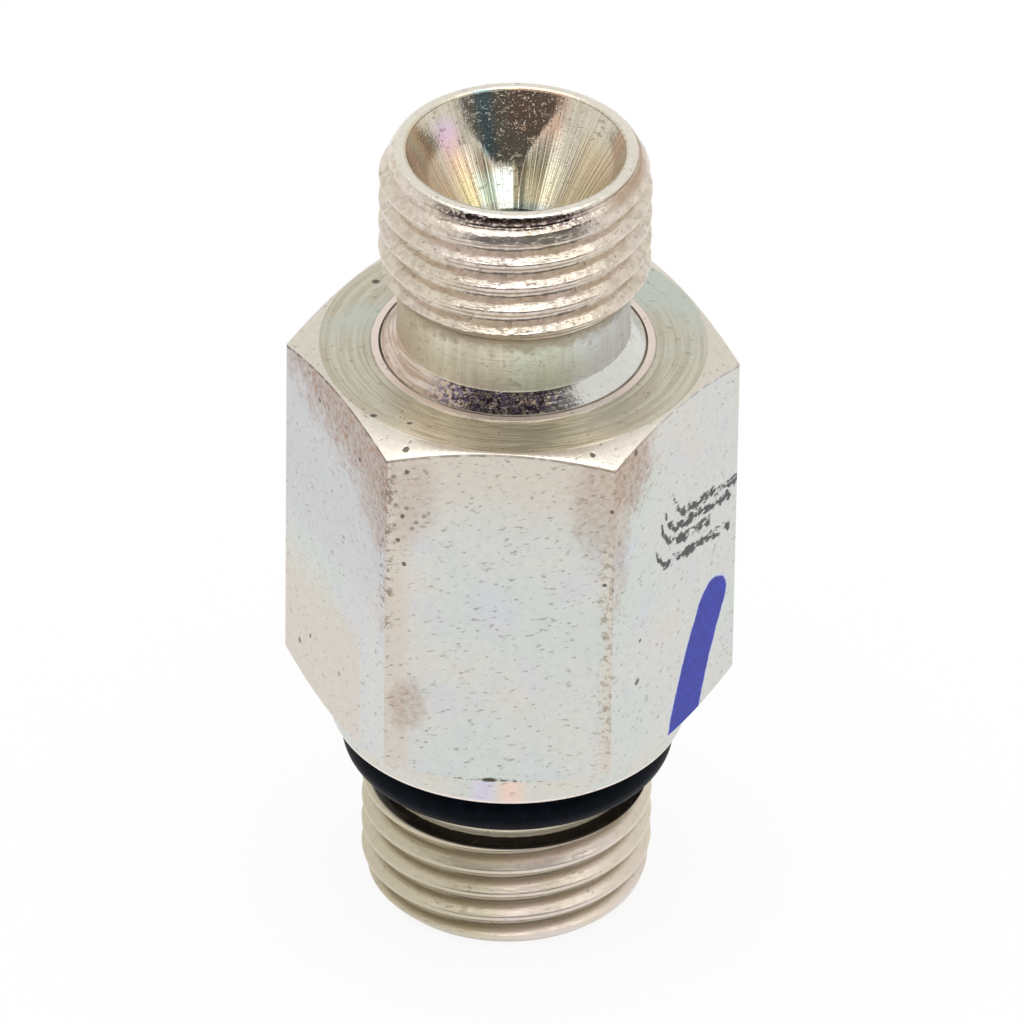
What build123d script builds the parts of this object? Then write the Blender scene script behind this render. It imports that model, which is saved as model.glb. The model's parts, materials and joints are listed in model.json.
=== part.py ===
from build123d import *
import os
from math import cos, radians, tan

# A straight hydraulic adapter, turned from hexagon bar in one piece, with a rubber O-ring.
# It stands on its stud end: the origin is the centre of the lower end face and +Z is the axis.
# Sizes are in millimetres, and angles in degrees.

# Hexagon
across_flats = 19.0
hexagon_length = 19.8
top_face_step = 0.10
top_chamfer_angle = 24.0
bottom_chamfer_angle = 30.0

# Stud end: 9/16-18 UNF, with its O-ring groove and the shoulder that closes on the port
stud_thread_diameter = 14.288
stud_length = 10.0
stud_chamfer = 0.48
stud_taper = 0.30
stud_taper_length = 1.2
groove_diameter = 12.36
groove_width = 3.75
groove_foot_fall = 0.2
shoulder_step = 0.73
shoulder_height = 1.5
shoulder_edge_chamfer = 0.15
stud_bore_diameter = 7.5
stud_bore_depth = 18.0
drill_point_angle = 118.0

# Cone end: G1/4, with a plain neck below the thread and a cone for the mating nose
cone_thread_diameter = 13.157
cone_end_length = 11.2
rim_chamfer = 0.71
rim_chamfer_angle = 30.0
neck_diameter = 11.3
neck_length = 3.8
neck_flare_width = 0.8
neck_flare_height = 0.84
foot_ring_width = 0.45
foot_ring_height = 0.1
cone_mouth_diameter = 10.64
cone_angle = 60.0
bore_diameter = 4.8

# O-ring
o_ring_section = 1.98
o_ring_drop = 0.42
o_ring_clearance = 0.01
o_ring_section_sides = 20

# Heights that follow
shoulder_z = stud_length
hexagon_z = shoulder_z + shoulder_height
hexagon_top_z = hexagon_z + hexagon_length
rim_z = hexagon_top_z + cone_end_length

# Radii that follow
corner_radius = across_flats / 2 / cos(radians(30))
shoulder_radius = across_flats / 2 - shoulder_step
top_face_radius = across_flats / 2 - top_face_step
stud_radius = stud_thread_diameter / 2
groove_radius = groove_diameter / 2
thread_radius = cone_thread_diameter / 2
neck_radius = neck_diameter / 2
mouth_radius = cone_mouth_diameter / 2
bore_radius = bore_diameter / 2
stud_bore_radius = stud_bore_diameter / 2
ring_radius = o_ring_section / 2


with BuildPart() as adapter_body:
    # Hexagon bar, both ends turned to a shallow cone that trims the corners
    with BuildSketch(Plane.XY.offset(hexagon_z)):
        RegularPolygon(radius=corner_radius, side_count=6)
    extrude(amount=hexagon_length)
    bottom_rise = (corner_radius - shoulder_radius) * tan(radians(bottom_chamfer_angle))
    top_fall = (corner_radius - top_face_radius) * tan(radians(top_chamfer_angle))
    with BuildSketch(Plane.XZ):
        with BuildLine():
            Polyline(
                (0, hexagon_z),
                (shoulder_radius, hexagon_z),
                (corner_radius, hexagon_z + bottom_rise),
                (corner_radius, hexagon_top_z - top_fall),
                (top_face_radius, hexagon_top_z),
                (0, hexagon_top_z),
                close=True,
            )
        make_face()
    revolve(axis=Axis.Z, mode=Mode.INTERSECT)

    # Shoulder, O-ring groove and stud. The thread's crests lie on the stud's cylinder
    groove_foot_z = shoulder_z - groove_width
    taper_radius = stud_radius - stud_taper
    with BuildSketch(Plane.XZ):
        with BuildLine():
            Polyline(
                (0, hexagon_z),
                (shoulder_radius, hexagon_z),
                (shoulder_radius, shoulder_z + shoulder_edge_chamfer),
                (shoulder_radius - shoulder_edge_chamfer, shoulder_z),
                (groove_radius, shoulder_z),
                (groove_radius, groove_foot_z + groove_foot_fall),
                (stud_radius, groove_foot_z),
                (stud_radius, stud_chamfer + stud_taper_length),
                (taper_radius, stud_chamfer),
                (taper_radius - stud_chamfer, 0),
                (0, 0),
                close=True,
            )
        make_face()
    revolve(axis=Axis.Z)

    # Cone end: foot ring, neck with a flare at its base, thread cylinder and rim
    foot_z = hexagon_top_z + foot_ring_height
    flare_radius = neck_radius + neck_flare_width
    foot_radius = flare_radius + foot_ring_width
    neck_top_z = foot_z + neck_length
    thread_slope = thread_radius - neck_radius
    rim_chamfer_length = rim_chamfer / tan(radians(rim_chamfer_angle))
    with BuildSketch(Plane.XZ):
        with BuildLine():
            Polyline(
                (0, hexagon_top_z),
                (foot_radius + foot_ring_height, hexagon_top_z),
                (foot_radius, foot_z),
                (flare_radius, foot_z),
                (neck_radius, foot_z + neck_flare_height),
                (neck_radius, neck_top_z),
                (thread_radius, neck_top_z + thread_slope),
                (thread_radius, rim_z - rim_chamfer_length),
                (thread_radius - rim_chamfer, rim_z),
                (0, rim_z),
                close=True,
            )
        make_face()
    revolve(axis=Axis.Z)

    # Bore: a cone seat in the rim, a small drilling below it and a wider one from the stud end
    cone_depth = (mouth_radius - bore_radius) / tan(radians(cone_angle / 2))
    point_depth = (stud_bore_radius - bore_radius) / tan(radians(drill_point_angle / 2))
    with BuildSketch(Plane.XZ):
        with BuildLine():
            Polyline(
                (0, rim_z),
                (mouth_radius, rim_z),
                (bore_radius, rim_z - cone_depth),
                (bore_radius, stud_bore_depth + point_depth),
                (stud_bore_radius, stud_bore_depth),
                (stud_bore_radius, 0),
                (0, 0),
                close=True,
            )
        make_face()
    revolve(axis=Axis.Z, mode=Mode.SUBTRACT)


with BuildPart() as o_ring:
    # It grips the groove's floor, just below the shoulder. Its round section is drawn with
    # enough sides to be true to about a hundredth of a millimetre
    with BuildSketch(Plane.XZ):
        with Locations((groove_radius + o_ring_clearance + ring_radius, shoulder_z - o_ring_drop - ring_radius)):
            RegularPolygon(ring_radius, side_count=o_ring_section_sides)
    revolve(axis=Axis.Z)


os.makedirs("parts", exist_ok=True)
adapter_body.part.label = "adapter_body"
export_step(adapter_body.part, "parts/adapter_body.step")
o_ring.part.label = "o_ring"
export_step(o_ring.part, "parts/o_ring.step")
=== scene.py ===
# %% [markdown]
# # A turned steel adapter and its O-ring
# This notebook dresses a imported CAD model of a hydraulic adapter. The CAD part gives the sizes,
# and each cell here either models a visible form or builds a finish for it. The object stands on
# its stud end, with +Z along its bore, exactly where the CAD model has it.

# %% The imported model
import json
from math import ceil, cos, degrees, pi, radians, sin, tan

import bmesh
import bpy
from mathutils import Matrix, Vector


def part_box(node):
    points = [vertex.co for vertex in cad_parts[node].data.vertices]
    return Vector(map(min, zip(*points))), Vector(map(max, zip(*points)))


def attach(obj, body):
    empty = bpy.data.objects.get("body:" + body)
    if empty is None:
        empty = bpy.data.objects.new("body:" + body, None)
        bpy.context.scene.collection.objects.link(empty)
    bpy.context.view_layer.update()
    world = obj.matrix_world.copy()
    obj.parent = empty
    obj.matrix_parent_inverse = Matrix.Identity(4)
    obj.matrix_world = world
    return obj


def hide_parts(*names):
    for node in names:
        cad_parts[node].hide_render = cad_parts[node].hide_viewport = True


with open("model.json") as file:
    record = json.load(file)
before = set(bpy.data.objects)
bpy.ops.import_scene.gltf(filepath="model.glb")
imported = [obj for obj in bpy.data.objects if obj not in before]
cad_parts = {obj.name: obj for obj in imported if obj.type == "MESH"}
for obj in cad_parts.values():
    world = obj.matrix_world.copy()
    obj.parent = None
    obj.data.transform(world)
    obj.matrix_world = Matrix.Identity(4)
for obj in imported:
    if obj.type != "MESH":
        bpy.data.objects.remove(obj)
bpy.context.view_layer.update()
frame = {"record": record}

# %% [markdown]
# ## Sizes
# The modelling below is done with one unit to the millimetre, because edges of a tenth of a
# millimetre are easier to read and to merge at that size, and each finished mesh is scaled down
# once at its end. Radii of the threads and bores come from the mounts that the CAD model states,
# and the overall height comes from its box. The other sizes are the maker's own, as measured.

# %% Sizes in millimetres
MM = 0.001
mount = {entry["name"]: entry for entry in frame["record"]["mounts"]}

stud_radius = mount["stud_thread"]["dims"]["r_mm"]
cone_thread_radius = mount["cone_thread"]["dims"]["r_mm"]
bore_radius = mount["cone_bore"]["dims"]["r_mm"]
stud_bore_radius = mount["stud_bore"]["dims"]["r_mm"]
stud_bore_depth = mount["stud_bore"]["dims"]["length_mm"]
body_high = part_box("adapter_body")[1]
rim_z = body_high.z / MM
half_flats = body_high.y / MM
corner_radius = half_flats / cos(radians(30))

shoulder_z = 10.0
hexagon_z = 11.5
hexagon_top_z = 31.3
shoulder_radius = half_flats - 0.73
top_face_radius = half_flats - 0.10
stud_chamfer = 0.48
stud_taper = 0.30
stud_taper_length = 1.2
groove_radius = 6.18
groove_foot_z = shoulder_z - 3.75
groove_foot_fall = 0.2
foot_z = hexagon_top_z + 0.1
neck_radius = 5.65
flare_radius = neck_radius + 0.8
flare_top_z = foot_z + 0.84
foot_radius = flare_radius + 0.45
neck_top_z = foot_z + 3.8
rim_chamfer = 0.71
rim_chamfer_length = rim_chamfer / tan(radians(30))
mouth_radius = 5.32
ring_radius = 0.99
ring_z = shoulder_z - 0.42 - ring_radius

TURNS_DIVIDED = 144
print("across flats", round(2 * half_flats, 2), "height", round(rim_z, 2))

# %% [markdown]
# ## Bench tools
# A few small helpers keep the cells short: two choose what is selected, one draws an outline by
# pushing a single vertex from point to point, one picks vertices by their place, one spins an
# outline into a turned form, and one adds a modifier and applies it. They do by code what the
# hand does with Extrude, Spin and the modifier panel.

# %% Selecting and drawing
WELD = 1e-4
SAME_PLACE = 1e-3


def clear_selection():
    if bpy.context.mode != "OBJECT":
        bpy.ops.object.mode_set(mode="OBJECT")
    bpy.ops.object.select_all(action="DESELECT")


def select_only(piece):
    clear_selection()
    piece.select_set(True)
    bpy.context.view_layer.objects.active = piece


def draw_outline(name, points):
    """A closed chain of edges through (radius, height) points, drawn in the XZ plane."""
    clear_selection()
    start = Vector((points[0][0], 0, points[0][1]))
    bpy.ops.mesh.primitive_plane_add(size=1, location=start)
    piece = bpy.context.object
    piece.name = name
    bpy.ops.object.mode_set(mode="EDIT")
    bpy.ops.mesh.select_all(action="SELECT")
    bpy.ops.mesh.merge(type="CENTER")
    here = start
    for radius, height in (*points[1:], points[0]):
        there = Vector((radius, 0, height))
        bpy.ops.mesh.extrude_vertices_move(TRANSFORM_OT_translate={"value": there - here})
        here = there
    bpy.ops.mesh.select_all(action="SELECT")
    bpy.ops.mesh.remove_doubles(threshold=WELD)
    bpy.ops.object.mode_set(mode="OBJECT")
    bpy.ops.object.transform_apply(location=True, rotation=True, scale=True)
    return piece


def pick_vertices(piece, wanted):
    """In edit mode, selects the vertices whose place passes the test, and says how many."""
    mesh = bmesh.from_edit_mesh(piece.data)
    for vertex in mesh.verts:
        vertex.select_set(bool(wanted(vertex.co)))
    mesh.select_flush(False)
    bmesh.update_edit_mesh(piece.data)
    return sum(vertex.select for vertex in mesh.verts)


def near(radius, height):
    """A test for pick_vertices: is this vertex at that radius and height?"""
    return lambda place: abs(place.x - radius) < SAME_PLACE and abs(place.z - height) < SAME_PLACE


def round_corner(piece, radius, height, size, segments):
    """Rounds one corner of an outline, as Bevel does with its Vertices option."""
    bpy.ops.object.mode_set(mode="EDIT")
    bpy.ops.mesh.select_mode(type="VERT")
    found = pick_vertices(piece, near(radius, height))
    bpy.ops.mesh.bevel(offset=size, offset_type="OFFSET", segments=segments, affect="VERTICES")
    bpy.ops.object.mode_set(mode="OBJECT")
    return found


def spin_solid(piece):
    """Spins an outline round the bore's axis into a closed solid."""
    bpy.context.view_layer.objects.active = piece
    bpy.ops.object.mode_set(mode="EDIT")
    bpy.ops.mesh.select_all(action="SELECT")
    bpy.ops.mesh.spin(
        steps=TURNS_DIVIDED, angle=2 * pi, center=(0, 0, 0), axis=(0, 0, 1), use_auto_merge=True
    )
    bpy.ops.mesh.select_all(action="SELECT")
    bpy.ops.mesh.remove_doubles(threshold=WELD)
    bpy.ops.mesh.normals_make_consistent(inside=False)
    bpy.ops.object.mode_set(mode="OBJECT")


# %% Modifiers and Booleans
def apply_modifier(piece, kind, **settings):
    """Adds a modifier to a piece, sets it, and applies it."""
    select_only(piece)
    bpy.ops.object.modifier_add(type=kind)
    modifier = piece.modifiers[-1]
    for name, value in settings.items():
        setattr(modifier, name, value)
    bpy.ops.object.modifier_apply(modifier=modifier.name)


def combine(piece, tool, operation):
    """Applies a Boolean with another solid, and throws the tool away."""
    apply_modifier(piece, "BOOLEAN", operation=operation, solver="EXACT", object=tool)
    bpy.data.objects.remove(tool)
    print(operation.lower(), "leaves", len(piece.data.polygons), "faces")


# %% The turned outline
sleeve_radius = 6.0
core_radius = 8.0
taper_radius = stud_radius - stud_taper
cone_depth = (mouth_radius - bore_radius) / tan(radians(30))
drill_point = (stud_bore_radius - bore_radius) / tan(radians(59))

body = draw_outline(
    "adapter_visual",
    [
        (stud_bore_radius, 0),
        (taper_radius - stud_chamfer, 0),
        (taper_radius, stud_chamfer),
        (stud_radius, stud_chamfer + stud_taper_length),
        (stud_radius, groove_foot_z),
        (groove_radius, groove_foot_z + groove_foot_fall),
        (groove_radius, shoulder_z),
        (shoulder_radius, shoulder_z),
        (shoulder_radius, hexagon_z + 1),
        (core_radius, hexagon_z + 2),
        (core_radius, hexagon_top_z - 2),
        (foot_radius + 0.5, hexagon_top_z - 0.3),
        (foot_radius + 0.35, hexagon_top_z + 0.02),
        (foot_radius + 0.04, hexagon_top_z + 0.03),
        (foot_radius, foot_z - 0.01),
        (flare_radius + 0.07, foot_z),
        (flare_radius + 0.03, foot_z - 0.07),
        (flare_radius, foot_z),
        (neck_radius, flare_top_z),
        (neck_radius, neck_top_z),
        (cone_thread_radius, neck_top_z + cone_thread_radius - neck_radius),
        (cone_thread_radius, rim_z - rim_chamfer_length),
        (cone_thread_radius - rim_chamfer, rim_z),
        (mouth_radius, rim_z),
        (bore_radius, rim_z - cone_depth),
        (bore_radius, stud_bore_depth + drill_point),
        (stud_bore_radius, stud_bore_depth),
    ],
)
print("outline", len(body.data.vertices), "points")

# %% Rounding the turned edges, then spinning
EDGE_BREAK = 0.07
rounded = 0
for radius, height, size, segments in (
    (stud_bore_radius, 0, 0.25, 1),
    (taper_radius - stud_chamfer, 0, EDGE_BREAK, 2),
    (taper_radius, stud_chamfer, 0.2, 4),
    (stud_radius, groove_foot_z, 0.16, 3),
    (groove_radius, groove_foot_z + groove_foot_fall, 0.2, 3),
    (groove_radius, shoulder_z, 0.25, 3),
    (shoulder_radius, shoulder_z, 0.24, 5),
    (foot_radius, foot_z - 0.01, 0.03, 2),
    (neck_radius, flare_top_z, 0.08, 3),
    (neck_radius, neck_top_z, 0.2, 2),
    (cone_thread_radius, neck_top_z + cone_thread_radius - neck_radius, EDGE_BREAK, 2),
    (cone_thread_radius, rim_z - rim_chamfer_length, EDGE_BREAK, 2),
    (cone_thread_radius - rim_chamfer, rim_z, 0.2, 4),
    (mouth_radius, rim_z, EDGE_BREAK, 3),
    (bore_radius, rim_z - cone_depth, EDGE_BREAK, 2),
):
    rounded += round_corner(body, radius, height, size, segments)
print("corners rounded", rounded)
spin_solid(body)
print("turned", len(body.data.polygons), "faces")

# %% [markdown]
# ## Threads
# A die cuts a thread by taking a V-shaped groove out of a plain cylinder along a helix. The same
# is done here: the groove's section is drawn once, the Screw modifier winds it up the axis as one
# closed bar, and a Boolean takes the bar out of the body. A texture can't do this, because the
# crests show in the outline and run out through the chamfers at both ends. The real flanks are
# worn and bulge a little, so each is drawn in two parts that lean at different angles.

# %% The two thread forms
CAMERA_TURN = -87.0
OUTER_SHARE = 0.6
BAR_CLEARANCE = 0.4


def thread_bar(
    name,
    pitch,
    crest_radius,
    depth,
    inner_angle,
    outer_angle,
    crest_flat,
    crest_round,
    low_z,
    high_z,
    front_z,
):
    """A closed helical bar of one groove's section. Each flank leans at one angle near the root
    and at another near the crest. front_z is the height of a groove's middle on the side that
    faces the camera."""
    outer_depth = depth * OUTER_SHARE
    middle_radius = crest_radius - outer_depth
    root_radius = crest_radius - depth
    crest_half = pitch / 2 - crest_flat / 2
    middle_half = crest_half - outer_depth * tan(radians(outer_angle))
    root_half = middle_half - (depth - outer_depth) * tan(radians(inner_angle))
    clear_radius = crest_radius + BAR_CLEARANCE
    first_turn = ceil((front_z - low_z) / pitch)
    start_z = front_z - first_turn * pitch - pitch * CAMERA_TURN / 360
    bar = draw_outline(
        name,
        [
            (clear_radius, start_z - crest_half - crest_round),
            (crest_radius, start_z - crest_half - crest_round),
            (crest_radius, start_z - crest_half),
            (middle_radius, start_z - middle_half),
            (root_radius, start_z - root_half),
            (root_radius, start_z + root_half),
            (middle_radius, start_z + middle_half),
            (crest_radius, start_z + crest_half),
            (crest_radius, start_z + crest_half + crest_round),
            (clear_radius, start_z + crest_half + crest_round),
        ],
    )
    for side in (-1, 1):
        for corner, half, size, segments in (
            (root_radius, root_half, root_half * 0.96, 4),
            (middle_radius, middle_half, depth * 0.2, 3),
            (crest_radius, crest_half, crest_round * 0.98, 5),
        ):
            round_corner(bar, corner, start_z + side * half, size, segments)
    turns = ceil((high_z - start_z) / pitch)
    apply_modifier(
        bar,
        "SCREW",
        axis="Z",
        angle=2 * pi,
        screw_offset=pitch,
        iterations=turns,
        steps=TURNS_DIVIDED,
        render_steps=TURNS_DIVIDED,
        use_merge_vertices=False,
    )
    bpy.ops.object.mode_set(mode="EDIT")
    bpy.ops.mesh.select_mode(type="VERT")
    bpy.ops.mesh.select_all(action="SELECT")
    bpy.ops.mesh.remove_doubles(threshold=WELD)
    bpy.ops.mesh.fill_holes(sides=0)
    bpy.ops.mesh.select_all(action="SELECT")
    bpy.ops.mesh.normals_make_consistent(inside=False)
    bpy.ops.object.mode_set(mode="OBJECT")
    lowest = min(bar.data.vertices, key=lambda vertex: vertex.co.z).co.z
    print(name, "turns", turns, "lowest", round(lowest, 3))
    return bar


INCH = 25.4
cone_pitch = INCH / 19
stud_pitch = INCH / 18

stud_bar = thread_bar(
    "stud_groove",
    stud_pitch,
    stud_radius,
    depth=0.56 * stud_pitch,
    inner_angle=24,
    outer_angle=34,
    crest_flat=0.14 * stud_pitch,
    crest_round=0.06 * stud_pitch,
    low_z=-stud_pitch,
    high_z=groove_foot_z + 1.2,
    front_z=5.46,
)
combine(body, stud_bar, "DIFFERENCE")
cone_bar = thread_bar(
    "cone_groove",
    cone_pitch,
    cone_thread_radius,
    depth=0.53 * cone_pitch,
    inner_angle=20,
    outer_angle=38,
    crest_flat=0.13 * cone_pitch,
    crest_round=0.05 * cone_pitch,
    low_z=neck_top_z - 0.5,
    high_z=rim_z + 0.6 * cone_pitch,
    front_z=39.38,
)
combine(body, cone_bar, "DIFFERENCE")

# %% [markdown]
# ## The hexagon
# The bar the fitting is cut from is drawn hexagon. In the lathe its two ends are faced to shallow
# cones, which trim the corners in curved lines. A six-sided cylinder and a spun ring with those
# cones are intersected, so the curves come out true, and a small bevel then breaks every edge, as
# tumbling and plating do.

# %% Hexagon sleeve
SPARE_LENGTH = 2
clear_selection()
bpy.ops.mesh.primitive_cylinder_add(
    vertices=6,
    radius=corner_radius,
    depth=hexagon_top_z - hexagon_z + SPARE_LENGTH,
    location=(0, 0, (hexagon_top_z + hexagon_z) / 2),
)
hexagon = bpy.context.object
hexagon.name = "hexagon_bar"
bpy.ops.object.transform_apply(location=True, rotation=True, scale=True)
bpy.ops.object.mode_set(mode="EDIT")
bpy.ops.mesh.select_all(action="SELECT")
bpy.ops.transform.rotate(value=radians(30), orient_axis="Z", center_override=(0, 0, 0))
bpy.ops.object.mode_set(mode="OBJECT")
print("corner on +X at", round(max(vertex.co.x for vertex in hexagon.data.vertices), 3))

bottom_slope = tan(radians(30))
top_slope = tan(radians(24))
beyond_corner = corner_radius + 1
under_shoulder = 0.5
faced_ends = draw_outline(
    "faced_ends",
    [
        (sleeve_radius, hexagon_z - under_shoulder * bottom_slope),
        (shoulder_radius - under_shoulder, hexagon_z - under_shoulder * bottom_slope),
        (beyond_corner, hexagon_z + (beyond_corner - shoulder_radius) * bottom_slope),
        (beyond_corner, hexagon_top_z - (beyond_corner - top_face_radius) * top_slope),
        (top_face_radius, hexagon_top_z),
        (sleeve_radius, hexagon_top_z),
    ],
)
spin_solid(faced_ends)
combine(hexagon, faced_ends, "INTERSECT")

HEXAGON_EDGE_BREAK = 0.1
apply_modifier(
    hexagon,
    "BEVEL",
    width=HEXAGON_EDGE_BREAK,
    segments=3,
    limit_method="ANGLE",
    angle_limit=radians(45),
)
combine(body, hexagon, "UNION")

# %% Smooth shading, and down to true size
def finish_mesh(piece, crease=30):
    """Welds, shades smooth below the crease angle, and scales from millimetres to metres."""
    select_only(piece)
    bpy.ops.object.mode_set(mode="EDIT")
    bpy.ops.mesh.select_all(action="SELECT")
    bpy.ops.mesh.remove_doubles(threshold=2 * WELD)
    bpy.ops.mesh.normals_make_consistent(inside=False)
    bpy.ops.object.mode_set(mode="OBJECT")
    bpy.ops.object.shade_smooth_by_angle(angle=radians(crease))
    apply_modifier(piece, "WEIGHTED_NORMAL", keep_sharp=True)
    piece.scale = (MM, MM, MM)
    bpy.ops.object.transform_apply(location=True, rotation=True, scale=True)
    open_edges = bmesh.new()
    open_edges.from_mesh(piece.data)
    loose = sum(not edge.is_manifold for edge in open_edges.edges)
    open_edges.free()
    print(piece.name, "vertices", len(piece.data.vertices), "open or shared edges", loose)


finish_mesh(body)
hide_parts("adapter_body")
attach(body, "root")

# %% [markdown]
# ## The O-ring
# A rubber ring sits in the groove under the sealing shoulder. It is moulded as a true torus, with
# a thin flash line where the two halves of the mould met, and it is stretched on, so its inner
# side lies flat against the metal. A torus primitive gives the section, a bevelled and raised edge
# loop gives the flash line, and a Boolean with the groove's own cylinder gives the flat.

# %% Ring, flash line and flat inner side
FLASH_HEIGHT = 0.01
FLASH_WIDTH = 0.035
ring_centre = groove_radius + 0.01 + ring_radius
clear_selection()
bpy.ops.mesh.primitive_torus_add(
    major_radius=ring_centre,
    minor_radius=ring_radius - 0.012,
    major_segments=TURNS_DIVIDED,
    minor_segments=48,
    location=(0, 0, ring_z),
)
ring = bpy.context.object
ring.name = "o_ring_visual"
bpy.ops.object.transform_apply(location=True, rotation=True, scale=True)
bpy.ops.object.mode_set(mode="EDIT")
bpy.ops.mesh.select_mode(type="EDGE")
bpy.ops.mesh.select_all(action="DESELECT")
outermost = ring_centre + ring_radius - 0.02


def on_flash(place):
    return place.xy.length > outermost and abs(place.z - ring_z) < 0.01


pick_vertices(ring, on_flash)
bpy.ops.mesh.bevel(offset=FLASH_WIDTH, segments=2, affect="EDGES")
bpy.ops.mesh.select_all(action="DESELECT")
flash = pick_vertices(ring, on_flash)
raised = 1 + FLASH_HEIGHT / ring_centre
bpy.ops.transform.resize(value=(raised, raised, 1), center_override=(0, 0, ring_z))
bpy.ops.object.mode_set(mode="OBJECT")
print("flash line vertices", flash)

clear_selection()
bpy.ops.mesh.primitive_cylinder_add(
    vertices=TURNS_DIVIDED, radius=groove_radius + 0.06, depth=3, location=(0, 0, ring_z)
)
flat_seat = bpy.context.object
combine(ring, flat_seat, "DIFFERENCE")
finish_mesh(ring, crease=40)
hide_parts("o_ring")
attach(ring, "root")

# %% [markdown]
# ## Camera
# The photograph is taken from about 35 degrees above with a long lens, so the vertical edges stay
# almost parallel. The lens, distance and slight roll were fitted to the edges of the hexagon and
# to the circles of the threads, and the camera is set by its own axes instead of by angles,
# because that keeps the roll plain to read.

# %% Camera
CAMERA_AZIMUTH = radians(3.0)
CAMERA_ELEVATION = radians(34.9)
CAMERA_ROLL = radians(0.85)
CAMERA_DISTANCE = 0.750
LENS = 541.8

backward = Vector(
    (
        sin(CAMERA_AZIMUTH) * cos(CAMERA_ELEVATION),
        -cos(CAMERA_AZIMUTH) * cos(CAMERA_ELEVATION),
        sin(CAMERA_ELEVATION),
    )
)
level_right = Vector((cos(CAMERA_AZIMUTH), sin(CAMERA_AZIMUTH), 0))
level_up = backward.cross(level_right)
rolled_right = level_right * cos(CAMERA_ROLL) + level_up * sin(CAMERA_ROLL)
rolled_up = level_up * cos(CAMERA_ROLL) - level_right * sin(CAMERA_ROLL)
aim = Vector((0, 0, 0.0213)) + level_right * 0.00006

clear_selection()
bpy.ops.object.camera_add()
camera = bpy.context.object
camera.name = "photo_camera"
camera.data.lens = LENS
camera.data.sensor_width = 36
camera.matrix_world = Matrix.Translation(aim + backward * CAMERA_DISTANCE) @ Matrix(
    (rolled_right, rolled_up, backward)
).transposed().to_4x4()
bpy.context.scene.camera = camera
print("camera at", [round(v, 4) for v in camera.matrix_world.translation])

# %% [markdown]
# ## Writing a finish as sums
# A finish is a network of nodes. Wiring it by hand hides the idea, so a small class wraps an
# output socket and lets Python's operators add the Math nodes, and one method adds any other node.

# %% Nodes by arithmetic
class Wire:
    """An output socket that can be added, multiplied and so on, each time adding a Math node."""

    def __init__(self, finish, socket):
        self.finish, self.socket = finish, socket

    def math(self, operation, *values):
        return self.finish.node("Math", {"operation": operation}, dict(enumerate((self, *values))))

    def __add__(self, other):
        return self.math("ADD", other)

    __radd__ = __add__

    def __sub__(self, other):
        return self.math("SUBTRACT", other)

    def __rsub__(self, other):
        return self.finish.node("Math", {"operation": "SUBTRACT"}, {0: other, 1: self})

    def __mul__(self, other):
        return self.math("MULTIPLY", other)

    __rmul__ = __mul__

    def __truediv__(self, other):
        return self.math("DIVIDE", other)

    def __pow__(self, other):
        return self.math("POWER", other)

    def __abs__(self):
        return self.math("ABSOLUTE")


class Finish:
    """A node tree under construction."""

    def __init__(self, tree):
        self.tree = tree
        tree.nodes.clear()

    def node(self, kind, settings=None, inputs=None, output=0):
        """Adds a node, sets its settings first, then its sockets' values or links."""
        made = self.tree.nodes.new("ShaderNode" + kind)
        for name, value in (settings or {}).items():
            if name == "stops":
                ramp = made.color_ramp
                while len(ramp.elements) < len(value):
                    ramp.elements.new(1)
                for element, (position, colour) in zip(ramp.elements, value):
                    element.position = position
                    element.color = (*colour, 1)
            else:
                setattr(made, name, value)
        for name, value in (inputs or {}).items():
            socket = made.inputs[name]
            if isinstance(value, Wire):
                self.tree.links.new(value.socket, socket)
            else:
                socket.default_value = value
        return Wire(self, made.outputs[output]) if made.outputs else made

    def parts(self, vector):
        """The x, y and z of a vector, as three wires."""
        first = self.node("SeparateXYZ", None, {0: vector})
        return [Wire(self, socket) for socket in first.socket.node.outputs]

    def step(self, value, start, end):
        """0 before start, 1 after end, and smooth between; start may be the larger."""
        settings = {"interpolation_type": "SMOOTHSTEP"}
        return self.node("MapRange", settings, {0: value, 1: start, 2: end})

    def band(self, value, low, high, soft):
        """1 between low and high, with soft edges."""
        return self.step(value, low - soft, low + soft) * self.step(value, high + soft, high - soft)

    def noise(self, place, size, detail=2, rough=0.5):
        """Noise whose lumps are about size millimetres across."""
        sockets = {"Vector": place, "Scale": 1 / size, "Detail": detail, "Roughness": rough}
        return self.node("TexNoise", None, sockets)

    def scaled(self, vector, factor):
        """A vector or a colour times a number."""
        return self.node("VectorMath", {"operation": "SCALE"}, {0: vector, "Scale": factor})

    def stretched(self, vector, factors):
        """A vector times three numbers, one for each axis."""
        return self.node("VectorMath", {"operation": "MULTIPLY"}, {0: vector, 1: factors})

    def mix(self, factor, low, high):
        """Mixes two colours."""
        return self.node("Mix", {"data_type": "RGBA"}, {0: factor, 6: low, 7: high}, 2)


def colour(*screen):
    """A screen colour, red, green and blue from 0 to 255, as the linear values of a socket."""
    shares = [value / 255 for value in screen]
    return (*(s / 12.92 if s <= 0.0404 else ((s + 0.055) / 1.055) ** 2.4 for s in shares), 1)


# %% [markdown]
# ## Bright zinc over steel
# The fitting is plated with zinc and passivated: a bright, faintly milky metal with a thin film that
# drifts between pale green, lilac and pinkish beige. It could be one metallic colour, but the film,
# the turning marks, the stains along the edges and the small pits are what make it look used, and
# they sit in fixed places. So the finish first works out where on the fitting a point lies, in
# millimetres, and every layer after that is a mask in those terms.

# %% Where a point lies on the metal
def new_finish(name):
    """A material with an empty node tree, and the Finish that fills the tree."""
    material = bpy.data.materials.new(name)
    material.use_nodes = True
    return material, Finish(material.node_tree)


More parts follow.
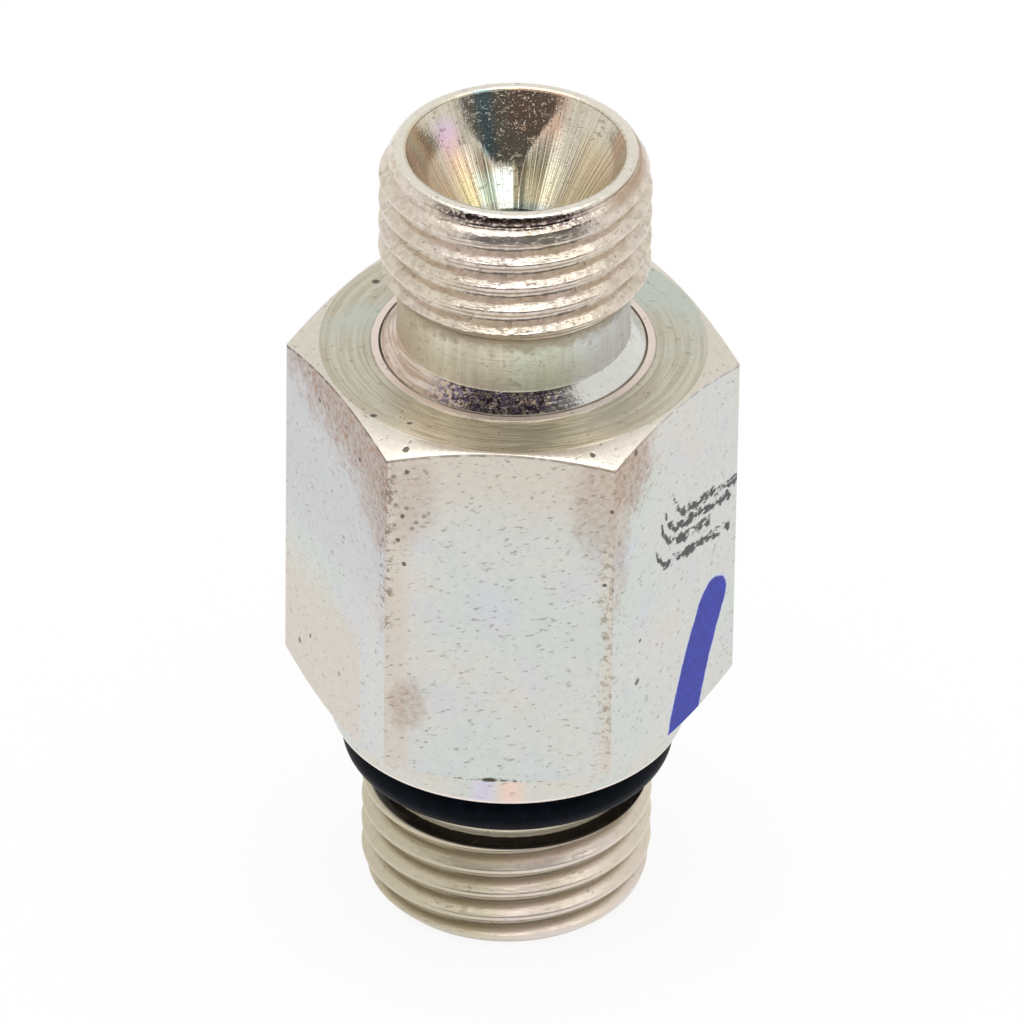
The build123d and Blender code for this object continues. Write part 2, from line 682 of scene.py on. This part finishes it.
zinc, z = new_finish("zinc_on_steel")
object_place = z.node("TexCoord", output="Object")
place = z.scaled(object_place, 1 / MM)
east, north, height = z.parts(place)
radius = (east * east + north * north).math("SQRT")


def face_place(turn):
    """How far out along a hexagon face's normal a point is, and how far along the face."""
    angle = radians(turn)
    out = east * cos(angle) + north * sin(angle)
    along = north * cos(angle) - east * sin(angle)
    return z.step(out, half_flats - 0.07, half_flats - 0.02), along


on_left, along_left = face_place(210)
on_front, along_front = face_place(270)
on_right, along_right = face_place(330)

chamfer_level = height + (radius - top_face_radius) * top_slope
side = z.step(radius, top_face_radius, half_flats - 0.02) * z.step(
    chamfer_level, hexagon_top_z + 0.01, hexagon_top_z - 0.06
)
above_hexagon = z.step(height, hexagon_top_z - 0.1, hexagon_top_z - 0.03)
annulus = above_hexagon * z.step(height, foot_z + 0.03, foot_z - 0.04)
neck = z.band(height, foot_z + 0.05, neck_top_z, 0.03)
cone_wall = z.step(height, rim_z - cone_depth - 0.3, rim_z - cone_depth) * z.step(
    radius - (height - rim_z) * tan(radians(30)), mouth_radius + 0.12, mouth_radius + 0.04
)
cone_outside = z.step(height, neck_top_z, neck_top_z + 0.2) * (1 - cone_wall)
stud_outside = z.step(height, groove_foot_z + 0.3, groove_foot_z) * z.step(
    radius, stud_bore_radius + 0.3, stud_bore_radius + 0.5
)
print("nodes for the places", len(zinc.node_tree.nodes))

# %% [markdown]
# The film's drifting colour is two broad noises of a few millimetres. Beige is then laid where the
# plating has yellowed: along the top and left of the front face, low on the left face, and darker
# brown along the upper edges, where water stood.

# %% Drifting film on the hexagon
def spot(along, centre, size, ragged, soft=0.3):
    """1 inside an ellipse on a face and 0 outside; ragged is a wire that frays its edge."""
    across = (along - centre[0]) / size[0]
    upward = (height - centre[1]) / size[1]
    distance = (across * across + upward * upward).math("SQRT") + ragged
    return z.step(distance, 1 + soft, 1 - soft)


def larger(first, *others):
    """The largest of some masks at each point."""
    for other in others:
        first = first.math("MAXIMUM", other)
    return first


broad = z.noise(place, 6.5, detail=2)
middle = z.noise(place, 2.6, detail=3)
fine = z.noise(place, 0.5, detail=3, rough=0.6)
grain = z.noise(place, 0.14, detail=1)

film = z.mix(z.step(broad, 0.42, 0.60), colour(217, 216, 211), colour(212, 217, 211))
film = z.mix(z.step(middle, 0.52, 0.70) * 0.7, film, colour(211, 212, 218))
film = z.mix(z.step(broad, 0.40, 0.28) * 0.8, film, colour(222, 213, 204))
film = z.mix(on_left * z.step(height, 18.0, 24.0) * 0.8, film, colour(203, 203, 205))

drifting_height = height + middle * 3
yellowed = larger(
    on_front * z.step(drifting_height, 27.0, 31.5) * 0.85,
    on_front * z.step(abs(along_front - 0.3) + middle, 4.9, 5.6) * 0.75,
    on_left * z.step(drifting_height, 22.0, 19.0) * z.step(along_left, 3.0, 2.5) * 0.75,
    on_right * z.step(drifting_height - along_right * 1.3, 33.5, 37.5) * 0.8,
)
film = z.mix(yellowed, film, colour(217, 207, 194))

frayed = (fine - 0.5) * 3.0 + (middle - 0.5) * 2.0
stained = on_left * z.step(height + along_left * 0.30 + frayed * 1.6, 26.9, 30.2)
for face, along, centre, size, strength in (
    (on_left, along_left, (4.4, 27.6), (1.6, 2.6), 0.7),
    (on_right, along_right, (-4.6, 29.6), (2.0, 2.3), 0.9),
    (on_right, along_right, (-5.0, 26.0), (0.9, 3.2), 0.5),
    (on_front, along_front, (-4.4, 16.3), (0.9, 1.5), 0.6),
    (on_front, along_front, (-4.4, 28.2), (1.1, 2.4), 0.4),
    (on_front, along_front, (4.7, 28.6), (1.3, 3.4), 0.55),
):
    stained = larger(stained, face * spot(along, centre, size, frayed * 0.55, 0.45) * strength)
dotted = 0.45 + z.step(z.noise(place, 0.28, detail=3, rough=0.7), 0.42, 0.62) * 0.55
film = z.mix(stained * dotted, film, colour(178, 149, 130))
print("nodes with the film", len(zinc.node_tree.nodes))

# %% Worn edges and dirt along them
corner_reach = z.step(radius, corner_radius - 0.62, corner_radius - 0.38)
front_right_corner = corner_reach * z.step(east - north * 0.58, 10.2, 10.6)
front_right_corner = front_right_corner * z.step(north, -3.0, -4.0)
smudge = z.step(z.noise(place, 0.35, detail=3, rough=0.65), 0.50, 0.62)
smudge = smudge * z.band(height, 14.5, 26.5, 1.0)
film = z.mix(front_right_corner * smudge * on_front * 0.8, film, colour(168, 158, 138))

front_left_corner = corner_reach * z.step(abs(east + half_flats / 3 ** 0.5), 0.5, 0.2)
front_left_corner = front_left_corner * z.step(north, -8.0, -9.0)
worn_dots = z.step(z.noise(place, 0.3, detail=3, rough=0.7), 0.50, 0.60)
worn_dots = worn_dots * z.band(height, 20.5, 30.5, 1.5)
film = z.mix(front_left_corner * worn_dots * 0.7, film, colour(128, 108, 88))

edge_dirt = z.band(chamfer_level, hexagon_top_z - 0.16, hexagon_top_z - 0.03, 0.035)
edge_dirt = edge_dirt * z.step(radius, half_flats - 0.03, half_flats + 0.02)
edge_dirt = edge_dirt * z.step(z.noise(place, 0.5, detail=2), 0.34, 0.52)
dirt_reach = larger(on_left * 0.9, on_front * 0.55, on_right * 0.4)
film = z.mix(edge_dirt * dirt_reach, film, colour(108, 88, 72))

lower_edge = z.band(height + (fine - 0.5) * 0.16, 12.0, 12.1, 0.05)
lower_edge = lower_edge * z.band(along_front, -5.2, 5.0, 0.4)
broken = z.step(z.noise(place, 0.5, detail=3, rough=0.7) - along_front * 0.012, 0.42, 0.58)
film = z.mix(on_front * lower_edge * broken, film, colour(92, 80, 66))
for along in (-3.2, -0.35):
    grime = on_front * spot(along_front, (along, 12.05), (0.34, 0.16), (fine - 0.5) * 2)
    film = z.mix(grime * 0.9, film, colour(72, 62, 52))
print("nodes with the edges", len(zinc.node_tree.nodes))

# %% [markdown]
# ## Pits and specks
# Tiny pits are scattered by a Voronoi pattern: each cell holds one, and the cell's own random
# number decides whether it shows. The few large pits that the eye picks out are listed one by one.
# Of several placed pits only the nearest counts at a point, so their distances, each in units of
# the pit's own size, go through one minimum, and one step then draws them all.

# %% Scattered specks
def speckle(spacing, size, share, stretch=1.0):
    """Small dots, about one to each spacing millimetres; share is the part of them that shows."""
    sockets = {"Vector": z.stretched(place, (1, 1, stretch)), "Scale": 1 / spacing}
    distance = z.node("TexVoronoi", None, sockets, "Distance")
    lot = z.parts(Wire(z, distance.socket.node.outputs["Color"]))[0]
    return z.step(distance * spacing, size, size * 0.5) * z.step(lot, 1 - share, 1 - share + 0.02)


SLANT = {"Axis": (0, 1, 0), "Angle": radians(14)}
slanted = z.node("VectorRotate", {"rotation_type": "AXIS_ANGLE"}, {0: place, **SLANT})
scratches = z.noise(z.stretched(slanted, (2.6, 2.6, 6.0)), 1, detail=3, rough=0.6)
cluster = larger(on_front * spot(along_front, (-4.6, 28.6), (1.3, 3.2), 0.0), stained * 0.8)
pits = larger(
    z.step(scratches, 0.605, 0.70) * 0.8,
    speckle(0.85, 0.14, 0.20, stretch=1.7) * 0.8,
    speckle(1.9, 0.18, 0.25),
    cluster * speckle(0.5, 0.16, 0.5),
)

# %% Placed pits
def nearest(point, pits_placed, ragged=None):
    """The distance to the nearest pit, in units of its size, from (x, y, size) of each."""
    least = None
    for x, y, size in pits_placed:
        apart = z.node("VectorMath", {"operation": "DISTANCE"}, {0: point, 1: (x, y, 0)}, "Value")
        apart = (apart + ragged if ragged else apart) / size
        least = least.math("MINIMUM", apart) if least else apart
    return least


large_pits = None
for along, on_face, places in (
    (
        along_front,
        on_front,
        (
            (-4.50, 30.0, 0.11),
            (5.57, 23.58, 0.12),
            (5.35, 28.2, 0.1),
            (5.55, 30.7, 0.1),
            (5.08, 23.9, 0.09),
            (5.94, 15.4, 0.08),
            (-4.9, 26.0, 0.1),
            (-4.6, 24.6, 0.1),
            (-4.7, 27.4, 0.1),
        ),
    ),
    (
        along_left,
        on_left,
        ((-3.85, 14.1, 0.13), (-2.7, 15.1, 0.11), (-1.8, 29.6, 0.12), (2.6, 28.85, 0.12)),
    ),
    (along_right, on_right, ((-3.18, 16.85, 0.17), (-3.69, 30.6, 0.14), (-2.99, 19.2, 0.10))),
):
    face_point = z.node("CombineXYZ", None, {0: along, 1: height})
    dots = on_face * z.step(nearest(face_point, places) + (grain - 0.5) * 1.5, 1.3, 0.7)
    large_pits = larger(large_pits, dots) if large_pits else dots

top_places = [
    (pit_radius * cos(radians(turn)), pit_radius * sin(radians(turn)), size)
    for pit_radius, turn, size in (
        (9.23, -133, 0.16),
        (8.57, -122, 0.12),
        (10.11, -117, 0.16),
        (9.91, -64, 0.13),
        (8.42, 146, 0.2),
    )
]
plan_point = z.node("CombineXYZ", None, {0: east, 1: north})
top_pits = z.step(nearest(plan_point, top_places, (grain - 0.5) * 0.1), 1.2, 0.7)
large_pits = larger(large_pits, top_pits * larger(above_hexagon, 1 - side))
film = z.mix(pits * 0.65, film, colour(122, 112, 94))
film = z.mix(large_pits * 0.85, film, colour(88, 74, 62))
print("nodes with the pits", len(zinc.node_tree.nodes))

# %% [markdown]
# ## Marker stroke and rubbed ink
# The right-hand face carries one stroke of a blue marker, which curves slightly and runs off the
# lower edge, and above it the rubbed remains of black ink, now only broken streaks. The stroke is
# the distance from a curved centre line. The streaks are four such lines, broken up by noise.

# %% Marker stroke
from_bottom = height - 12.1
centre_line = 1.1 + from_bottom * 0.27 + from_bottom * from_bottom * 0.024
across = abs(along_right - centre_line) / 1.36
past_top = (height + (along_right - centre_line) * 0.35 - 17.7).math("MAXIMUM", 0) / 1.25
stroke_distance = (across ** 2.4 + past_top ** 2.4) ** (1 / 2.4)
stroke_distance = stroke_distance + (z.noise(place, 0.6, detail=3) - 0.5) * 0.16
stroke = on_right * z.step(stroke_distance, 1.05, 0.96)
halo = on_right * z.band(stroke_distance, 1.0, 1.10, 0.06)
film = z.mix(halo * 0.7, film, colour(206, 216, 240))
ink = z.mix(z.step(fine, 0.35, 0.7), colour(0, 22, 156), colour(24, 46, 178))

# %% Rubbed ink
drift = (z.noise(place, 0.55, detail=4, rough=0.65) - 0.5) * 1.3
slope = (along_right - 2) * 0.15
streaks = None
for level, curl_end, first, last in (
    (24.5, 0.9, -0.3, 5.6),
    (23.8, 0.2, -0.95, 5.0),
    (23.05, -0.1, -1.3, 3.1),
    (21.95, -0.6, -1.7, 4.9),
):
    curl = (curl_end - along_right).math("MAXIMUM", 0)
    line = level - slope + curl * curl * 0.88
    streak = z.step(abs(height - line + drift), 0.29, 0.18) * z.band(along_right, first, last, 0.1)
    streaks = larger(streaks, streak) if streaks else streak
flecks = z.noise(z.stretched(place, (1.6, 1.6, 4.5)), 1, detail=2, rough=0.6)
left_over = z.step(z.noise(place, 0.9, detail=3, rough=0.6), 0.36, 0.44)
streaks = on_right * streaks * z.step(flecks, 0.36, 0.46) * left_over
print("nodes with the ink", len(zinc.node_tree.nodes))

# %% [markdown]
# ## Turned surfaces
# Everything round was cut on a lathe, so it carries fine rings that run with the turning. A noise
# that is stretched round the axis gives them: its place is the direction from the axis, slowly
# varying, with the radius and the height, finely varying. A fourth dimension takes the height.

# %% Rings of the lathe tool
def turning(fineness, length):
    """Streaks that are fineness millimetres across and length radians long."""
    place_round = z.node(
        "CombineXYZ", None, {0: east / radius / length, 1: north / radius / length, 2: radius / fineness}
    )
    sockets = {"Vector": place_round, "W": height / fineness, "Scale": 1, "Detail": 2}
    return z.node("TexNoise", {"noise_dimensions": "4D"}, sockets)


coarse_rings = turning(0.16, 0.5)
fine_rings = turning(0.05, 0.25)
turned = (1 - side) * z.step(radius, bore_radius + 0.1, bore_radius + 0.3)
ring_lines = z.band(radius, flare_radius - 0.02, flare_radius + 0.06, 0.03)
ring_lines = larger(ring_lines, z.band(radius, foot_radius - 0.02, foot_radius + 0.03, 0.03) * 0.7)
for line_radius, depth in ((7.22, 0.6), (7.48, 0.35), (7.86, 0.3), (8.35, 0.2)):
    line = z.band(radius, line_radius, line_radius + 0.04, 0.03) * depth
    ring_lines = larger(ring_lines, line * z.step(coarse_rings, 0.40, 0.55))
ring_lines = ring_lines * above_hexagon * z.step(height, foot_z + 0.15, foot_z + 0.08)
print("nodes with the rings", len(zinc.node_tree.nodes))

# %% [markdown]
# Each turned form then gets its own tone, in the order in which a later one covers an earlier: the
# hexagon's top face with its foot ring, the neck, the threads, the collar above the O-ring, the
# groove, the chamfer, the rim and the flare at the neck's foot.

# %% Top face and foot ring
tone = z.mix(z.step(coarse_rings, 0.35, 0.65), colour(190, 182, 162), colour(208, 203, 188))
tone = z.mix(z.step(broad, 0.40, 0.55) * z.step(north, -2, 3), tone, colour(199, 205, 196))
facing_front = z.step(north / radius, -0.72, -0.92)
# Painted reflection: the front of the top face, where it mirrors the neck, is painted lighter, with darker
# rings.
tone = z.mix(annulus * facing_front, tone, colour(232, 222, 200))
front_rings_painted_reflection = z.step(turning(0.10, 0.30), 0.46, 0.56) * annulus * facing_front
tone = z.mix(front_rings_painted_reflection * 0.4, tone, colour(136, 118, 92))
foot_ring = z.band(radius, flare_radius + 0.06, foot_radius - 0.02, 0.03) * above_hexagon
tone = z.mix(foot_ring, tone, colour(238, 222, 214))

# %% Neck
neck_tone = z.mix(z.step(east + middle * 3, 1.0, 2.5), colour(232, 224, 204), colour(228, 233, 212))
neck_tone = z.mix(z.step(east + middle * 3, 3.5, 5.5), neck_tone, colour(224, 227, 230))
neck_tone = z.mix(z.step(east + fine * 2, -2.2, -4.6) * 0.8, neck_tone, colour(206, 186, 158))
upright = z.noise(z.stretched(place, (2.4, 2.4, 0.3)), 1, detail=3, rough=0.6)
neck_tone = z.mix(z.step(upright, 0.46, 0.62) * 0.28, neck_tone, colour(196, 186, 160))
neck_tone = z.mix(z.step(upright, 0.42, 0.32) * 0.3, neck_tone, colour(250, 248, 236))
# Painted shade: the top of the neck, under the thread, is darkened.
painted_shade_under_thread = z.step(height + fine, neck_top_z - 0.4, neck_top_z + 0.3)
neck_tone = z.mix(painted_shade_under_thread * 0.7, neck_tone, colour(150, 132, 106))
dull_patch = z.step(fine + (middle - 0.5) * 0.3, 0.58, 0.68)
neck_tone = z.mix(dull_patch * 0.5, neck_tone, colour(170, 160, 138))
tone = z.mix(neck, tone, neck_tone)

# %% Threads
thread_tone = z.mix(z.step(middle, 0.4, 0.65), colour(226, 214, 198), colour(230, 217, 208))
# Painted shade: the stud's thread is darker on its left side.
thread_tone = z.mix(stud_outside * z.step(east, 2.0, -3.0), thread_tone, colour(206, 196, 174))
tone = z.mix(larger(cone_outside, stud_outside), tone, thread_tone)

# %% Collar, flanks and groove
collar = z.band(height, shoulder_z, hexagon_z, 0.1)
collar_tone = z.mix(z.step(middle, 0.4, 0.6), colour(220, 217, 208), colour(214, 217, 212))
collar_front = z.step(north, 0, -2)
collar_tone = z.mix(z.band(east, -1.2, -0.2, 0.4) * collar_front * 0.8, collar_tone, colour(218, 210, 232))
collar_tone = z.mix(z.band(east, 0.1, 1.2, 0.4) * collar_front, collar_tone, colour(240, 214, 200))
# Painted highlight: a bright line along the collar's lower edge.
collar_edge_painted_highlight = z.step(height, shoulder_z + 0.28, shoulder_z + 0.20)
collar_tone = z.mix(collar_edge_painted_highlight, collar_tone, colour(250, 238, 230))
tone = z.mix(collar, tone, collar_tone)
mottled_flank = z.step(z.noise(place, 0.55, detail=4, rough=0.7), 0.42, 0.62) * cone_outside
tone = z.mix(mottled_flank * 0.45, tone, colour(180, 166, 148))
groove_zone = z.band(height, groove_foot_z - 0.1, shoulder_z - 0.2, 0.05)
# Painted shade: the stud's thread is darkened towards its roots, deep in the groove.
stud_root_painted_shade = z.step(stud_radius - radius, 0.3, 0.7) * stud_outside
tone = z.mix(stud_root_painted_shade * 0.6, tone, colour(146, 132, 106))
# Painted light and shadow under the O-ring: the groove's wall is painted bright beige, as the lit floor it
# mirrors, and the ledge below it near black, as the O-ring's shadow.
groove_wall_painted_light = z.step(radius + (fine - 0.5) * 0.1, 6.46, 6.38)
groove_painted_light_and_shadow = z.mix(groove_wall_painted_light, colour(44, 36, 28), colour(246, 236, 212))
tone = z.mix(groove_zone, tone, groove_painted_light_and_shadow)

# %% Chamfer and rim
chamfer = (1 - side) * z.step(height, 28, 29)
chamfer = chamfer * z.step(radius, top_face_radius - 0.04, top_face_radius + 0.04)
tone = z.mix(chamfer, tone, colour(225, 217, 206))
rim_flat = z.step(height, rim_z - 0.1, rim_z - 0.05)
rim_bevel = z.step(height, rim_z - 0.9, rim_z - 0.5)
rim_bevel = rim_bevel * z.step(radius, cone_thread_radius - 0.9, cone_thread_radius - 0.7)
rim_front = rim_bevel * z.step(north / radius, -0.70, -0.90)
# Painted reflection: a dark violet mottle on the front of the rim chamfer, where it mirrors the dark
# opening in front.
rim_painted_dark_reflection = z.step(z.noise(place, 0.24, detail=3, rough=0.7), 0.36, 0.54)
tone = z.mix(rim_front * rim_painted_dark_reflection * 0.9, tone, colour(72, 48, 58))
# Painted shade: the right side of the rim chamfer is darker.
tone = z.mix(rim_bevel * z.step(east, 4.0, 5.4) * 0.7, tone, colour(176, 148, 122))
tone = z.mix(rim_flat, tone, colour(232, 226, 214))

# %% Flare, and the lines turned beside it
flare = z.band(height, foot_z + 0.03, flare_top_z, 0.03)
flare = flare * z.step(radius, flare_radius + 0.02, flare_radius - 0.02)
# Painted reflection: the front of the flare is painted with a dark violet mottle, where it mirrors the
# dark opening in front.
flare_beige = z.step(z.noise(place, 0.26, detail=3, rough=0.7), 0.42, 0.58)
flare_painted_dark_reflection = z.step(z.noise(place, 0.20, detail=2, rough=0.7), 0.48, 0.60)
flare_tone_and_painted_reflection = z.mix(flare_beige, colour(142, 130, 154), colour(208, 186, 164))
flare_tone_and_painted_reflection = z.mix(flare_painted_dark_reflection, flare_tone_and_painted_reflection, colour(76, 64, 70))
flare_left = z.mix(z.step(coarse_rings, 0.4, 0.6), colour(224, 208, 196), colour(190, 166, 146))
flare_tone_and_painted_reflection = z.mix(facing_front, flare_left, flare_tone_and_painted_reflection)
flare_tone_and_painted_reflection = z.mix(z.step(east, 1.5, 4.0), flare_tone_and_painted_reflection, colour(224, 224, 220))
tone = z.mix(flare, tone, flare_tone_and_painted_reflection)
ring_strength = 0.25 + z.step(middle, 0.35, 0.6) * 0.5
tone = z.mix(ring_lines * ring_strength, tone, colour(100, 86, 76))
print("nodes with the turned tones", len(zinc.node_tree.nodes))

# %% [markdown]
# The cone is the smoothest surface and shows the film best: a streak runs down its left side from
# violet through pink and orange to yellow, the middle is dusted with tiny bright grains, and fine
# lines run from the rim to the bore. Here a point's place is its bearing, in degrees from the
# back, and its depth under the rim.

# %% Film in the cone
bearing = east.math("ARCTAN2", north) * degrees(1)
depth = rim_z - height
rays = z.node("CombineXYZ", None, {0: east / radius, 1: north / radius, 2: 0})
ray_lines = z.noise(rays, 0.045, detail=2, rough=0.6)
cone_tone = z.mix(z.step(ray_lines, 0.35, 0.65), colour(206, 196, 176), colour(224, 216, 200))
for from_bearing, to_bearing, soft, none_at, full_at, screen in (
    (44, 120, 8, 0.6, 2.0, (220, 204, 172)),
    (-130, -66, 8, -2.0, -1.0, (218, 202, 176)),
    (-8, 26, 6, 2.6, 1.4, (222, 188, 166)),
    (-27, -17, 4, 3.2, 2.4, (164, 190, 194)),
    (-40, -4, 5, 3.0, 3.8, (232, 246, 238)),
    (4, 40, 5, 2.4, 3.6, (246, 236, 208)),
):
    sector = z.band(bearing, from_bearing, to_bearing, soft) * z.step(depth, none_at, full_at)
    cone_tone = z.mix(sector, cone_tone, colour(*screen))
streak_tone = z.node(
    "ValToRGB",
    {
        "stops": [
            (0.05, colour(216, 204, 232)[:3]),
            (0.28, colour(240, 208, 226)[:3]),
            (0.48, colour(255, 222, 196)[:3]),
            (0.72, colour(255, 240, 190)[:3]),
        ]
    },
    {0: depth / cone_depth + (ray_lines - 0.5) * 0.1},
)
streak_place = z.band(bearing + (middle - 0.5) * 8, -59, -42, 7) * z.step(depth, 0.2, 1.3)
cone_tone = z.mix(streak_place, cone_tone, streak_tone)
dusting = z.noise(place, 0.7, detail=2)
grains = z.step(z.noise(place, 0.11, detail=2, rough=0.6) + (dusting - 0.5) * 0.25, 0.60, 0.68)
grains = grains * z.band(bearing, -36, 50, 10) * z.step(depth, 3.6, 1.8)
cone_tone = z.mix(grains, cone_tone, colour(230, 226, 220))
tone = z.mix(cone_wall, tone, cone_tone)

# %% All tones together
tone = z.mix(pits * (0.5 - stud_outside * 0.3), tone, colour(120, 106, 90))
tone = z.mix(top_pits * 0.85, tone, colour(70, 62, 58))
film = z.mix(turned, film, tone)
mottle = z.noise(place, 0.4, detail=4, rough=0.7)
film = z.scaled(film, 0.845 + grain * 0.08 + mottle * 0.21)
film = z.mix(streaks * 0.95, film, colour(18, 16, 18))
film = z.mix(stroke, film, ink)
print("nodes with all the colour", len(zinc.node_tree.nodes))

# %% [markdown]
# Roughness, relief and metal follow the same masks: the cone and the flare are the smoothest, ink
# and stains are dull. The relief is in millimetres. In the cone it also leans the wall a little
# below a soft boundary, so that its reflection turns from dark to bright there.

# %% Roughness and relief
roughness = 0.33 + (fine - 0.5) * 0.12
roughness = roughness - cone_wall * 0.15 - cone_outside * 0.09 - chamfer * 0.10 - flare * 0.19
roughness = roughness - rim_bevel * 0.12
roughness = roughness + stained * 0.12 + stroke * 0.12
chatter = turning(0.30, 0.10)
relief = grain * 0.002 + fine * 0.003 - pits * 0.012 - large_pits * 0.03
ring_relief = coarse_rings * 0.012 + fine_rings * 0.004
relief = relief + turned * (1 - cone_wall * 0.8) * (1 - chamfer * 0.8) * ring_relief
relief = relief + cone_outside * (chatter * 0.05 + fine * 0.02) + stud_outside * chatter * 0.02
relief = relief - ring_lines * 0.02
bright_start = 3.0 - z.step(bearing, 0, 26) * 2.0 - z.step(bearing, -18, -38) * 1.2
bright_start = bright_start + z.band(bearing, -2, 3, 4) * 1.2 + (ray_lines - 0.5) * 0.25
below_start = depth - bright_start
tilt = ((below_start * below_start + 0.10).math("SQRT") + below_start) * 0.21
relief = relief + cone_wall * (tilt + grain * 0.004)
relief = relief + (flare + rim_flat) * (fine * 0.012 + grain * 0.006)
bump = z.node("Bump", None, {"Distance": MM, "Height": relief})

# %% Metal, and the shader
metal = 0.84 + cone_wall * 0.08 - neck * 0.12 - grains * cone_wall * 0.7
metal = metal + (flare + rim_bevel) * 0.12 - groove_zone * 0.4
metal = metal - stroke * 0.8 - streaks * 0.7
shader = z.node(
    "BsdfPrincipled",
    None,
    {"Base Color": film, "Metallic": metal, "Roughness": roughness, "Normal": bump},
)
z.node("OutputMaterial", None, {"Surface": shader})
body.data.materials.clear()
body.data.materials.append(zinc)
print("zinc finish has", len(zinc.node_tree.nodes), "nodes")

# %% [markdown]
# ## Rubber
# The ring is moulded nitrile rubber: nearly black with a blue cast, dull, and faintly grained.

# %% Rubber
rubber, g = new_finish("ring_rubber")
rubber_place = g.scaled(g.node("TexCoord", output="Object"), 1 / MM)
dust = g.noise(rubber_place, 0.8, detail=4, rough=0.65)
skin = g.noise(rubber_place, 0.12, detail=2)
shader = g.node(
    "BsdfPrincipled",
    None,
    {
        "Base Color": g.mix(g.step(dust, 0.45, 0.75), colour(2, 7, 16), colour(12, 19, 33)),
        "Roughness": 0.45 + (dust - 0.5) * 0.3,
        "Specular IOR Level": 0.06,
        "Normal": g.node("Bump", None, {"Distance": MM, "Height": skin * 0.004 + dust * 0.006}),
    },
)
g.node("OutputMaterial", None, {"Surface": shader})
ring.data.materials.clear()
ring.data.materials.append(rubber)
print("rubber finish has", len(rubber.node_tree.nodes), "nodes")

# %% [markdown]
# ## Floor and light
# The real fitting stands in a white tent and the camera looks in through a dark opening. Bright
# metal shows little but what is around it, so the world is built as that tent: white all round for
# soft light, and for reflections grey behind, dark where the camera's opening is and bright above.
# The floor is white. For the camera and in reflections it is partly a plain white light, so that
# it comes out as the photograph's white ground and still keeps a faint shadow of the fitting.

# %% Floor
clear_selection()
bpy.ops.mesh.primitive_plane_add(size=3, location=(0, 0, 0))
floor = bpy.context.object
floor.name = "floor"
white_floor, f = new_finish("white_floor")
is_camera = f.node("LightPath", output="Is Camera Ray")
is_glossy = f.node("LightPath", output="Is Glossy Ray")
is_through = f.node("LightPath", output="Is Transmission Ray")
shown = larger(is_camera, is_glossy, is_through)
paper = f.node("BsdfDiffuse", None, {"Color": (0.98, 0.98, 0.98, 1)})
plain_white = f.node("Emission", None, {"Color": (1, 1, 1, 1), "Strength": 1.0})
ground = f.node("MixShader", None, {0: shown * 0.88, 1: paper, 2: plain_white})
f.node("OutputMaterial", None, {"Surface": ground})
floor.data.materials.append(white_floor)
print("floor", round(floor.dimensions.x, 2), "m wide")

# %% The tent
OPENING_AZIMUTH = CAMERA_AZIMUTH + radians(6)
tent = bpy.data.worlds.new("tent")
bpy.context.scene.world = tent
tent.use_nodes = True
w = Finish(tent.node_tree)
direction = w.node("TexCoord", output="Generated")
upward = w.parts(direction)[2]
level_share = (1 - upward * upward).math("MAXIMUM", 1e-4).math("SQRT")


def level_part(azimuth):
    """How far a ray's level part points toward an azimuth: 1 straight to it, 0 across."""
    toward = (sin(azimuth), -cos(azimuth), 0)
    product = w.node("VectorMath", {"operation": "DOT_PRODUCT"}, {0: direction, 1: toward}, "Value")
    return product / level_share


ahead = level_part(OPENING_AZIMUTH)
opening = w.step(ahead, 0.50, 0.62) * w.step(upward, 0.22, 0.30) * w.step(upward, 0.88, 0.84)
brightness = 0.95 - w.step(upward, 0.05, 0.5) * 0.08 + w.step(upward, 0.70, 0.88) * 0.28
aside = level_part(CAMERA_AZIMUTH + radians(90))
front_lamp = w.step(ahead, 0.4, 0.5) * w.band(aside, -0.20, 0.38, 0.05) * w.band(upward, 0.89, 0.97, 0.01)
right_lamp = w.step(ahead, -0.2, 0.1) * w.band(aside, 0.62, 0.99, 0.05) * w.band(upward, 0.77, 0.90, 0.02)
brightness = brightness * (1 - opening * 0.95) + (front_lamp + right_lamp) * 1.45
walls = w.scaled((1.0, 1.0, 0.97), brightness)
is_glossy = w.node("LightPath", output="Is Glossy Ray")
is_camera = w.node("LightPath", output="Is Camera Ray")
seen = w.mix(is_glossy, (1, 1, 1, 1), walls)
strength = is_glossy.math("MAXIMUM", is_camera) * 0.18 + 0.82
w.node("OutputWorld", None, {0: w.node("Background", None, {0: seen, 1: strength})})
print("tent has", len(tent.node_tree.nodes), "nodes")

# %% Softbox overhead
SOFTBOX_SIDE = 0.7
SOFTBOX_RADIANCE = 1.3
clear_selection()
bpy.ops.object.light_add(type="AREA", location=(-0.05, -0.05, 0.9))
softbox = bpy.context.object
softbox.name = "softbox"
softbox.data.shape = "SQUARE"
softbox.data.size = SOFTBOX_SIDE
softbox.data.energy = SOFTBOX_RADIANCE * pi * SOFTBOX_SIDE ** 2
softbox.data.color = (1, 1, 1)
print("softbox energy", round(softbox.data.energy, 3), "W")

bpy.context.scene.view_settings.view_transform = "Standard"
